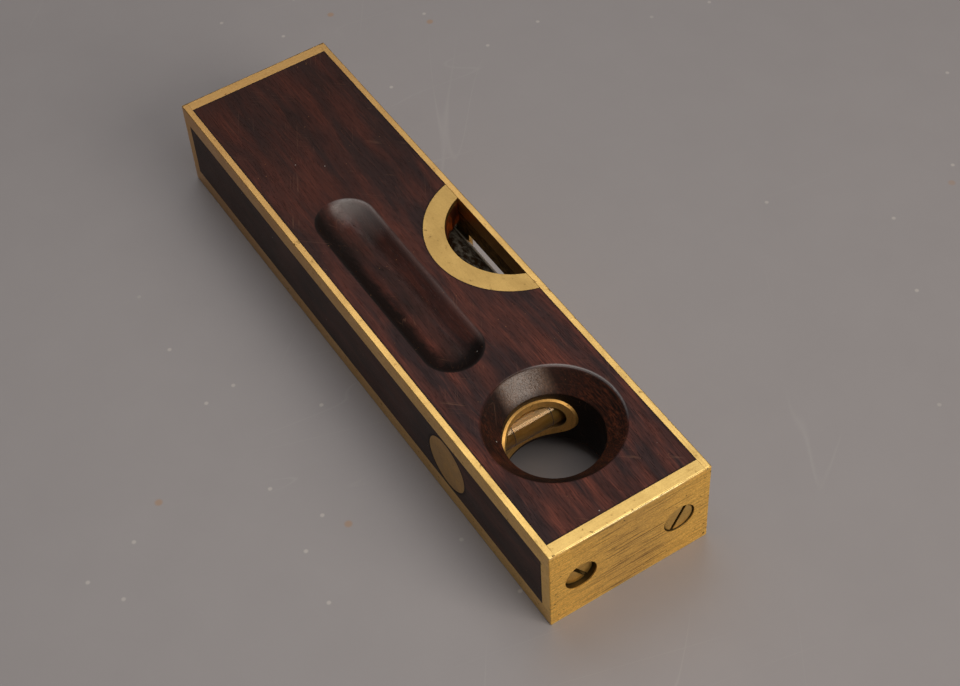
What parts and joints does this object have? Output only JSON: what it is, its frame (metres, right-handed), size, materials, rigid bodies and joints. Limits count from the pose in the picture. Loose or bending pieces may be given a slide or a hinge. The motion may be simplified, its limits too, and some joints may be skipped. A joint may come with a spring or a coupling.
{
  "type": "spirit level",
  "caption": "Small brass-bound rosewood pocket level with half-moon side windows, a round plumb hole, finger grips and two glass vials with bubbles.",
  "frame": {"origin": "centre of the broad face that the level lies on", "axes": "+X along the level towards the end with the plumb hole, +Y from the sole to the top edge, +Z through the thickness, up as it lies on its broad face"},
  "size_m": [0.165, 0.0412, 0.0254],
  "materials": {
    "rosewood": "worn oil and shellac finish",
    "binding_brass": "dull, finely scratched",
    "end_brass": "dull, filed lengthways",
    "window_brass": "dull, finely scratched",
    "top_plate_brass": "dull, finely scratched",
    "screw_brass": "dull",
    "tube_brass": "turned, bright where it is cut",
    "vial_glass": "clear",
    "spirit": "clear, faintly yellow liquid",
    "bubble": "air and vapour",
    "plaster": "set plaster"
  },
  "bodies": {
    "level_body": {"rosewood_body": "rosewood", "sole_strip_lower": "binding_brass", "sole_strip_upper": "binding_brass", "top_strip_lower": "binding_brass", "top_strip_upper": "binding_brass", "end_plate_near": "end_brass", "end_screw_near_sole": "screw_brass", "end_screw_near_top": "screw_brass", "top_plate_screw_near": "screw_brass", "end_plate_far": "end_brass", "end_screw_far_sole": "screw_brass", "end_screw_far_top": "screw_brass", "top_plate_screw_far": "screw_brass", "window_plate_lower": "window_brass", "window_plate_upper": "window_brass", "top_plate": "top_plate_brass", "plumb_tube": "tube_brass", "plumb_sole_cap": "tube_brass", "level_vial_glass": "vial_glass", "level_vial_spirit": "spirit", "plumb_vial_glass": "vial_glass", "plumb_vial_spirit": "spirit", "level_vial_plaster_near": "plaster", "level_vial_plaster_far": "plaster", "plumb_vial_plaster_sole": "plaster", "plumb_vial_plaster_top": "plaster"},
    "level_bubble": {"level_bubble": "bubble"},
    "plumb_bubble": {"plumb_bubble": "bubble"}
  },
  "joints": [
    {"name": "level_bubble_slide", "type": "slide", "parent": "level_body", "child": "level_bubble", "axis": [1, 0, 0], "range_m": [-0.013, 0.013], "stiffness_N_per_m": 0.5, "deforming": ["level_vial_spirit"]},
    {"name": "plumb_bubble_slide", "type": "slide", "parent": "level_body", "child": "plumb_bubble", "axis": [0, 1, 0], "range_m": [-0.0055, 0.0055], "stiffness_N_per_m": 0.5, "deforming": ["plumb_vial_spirit"]}
  ]
}
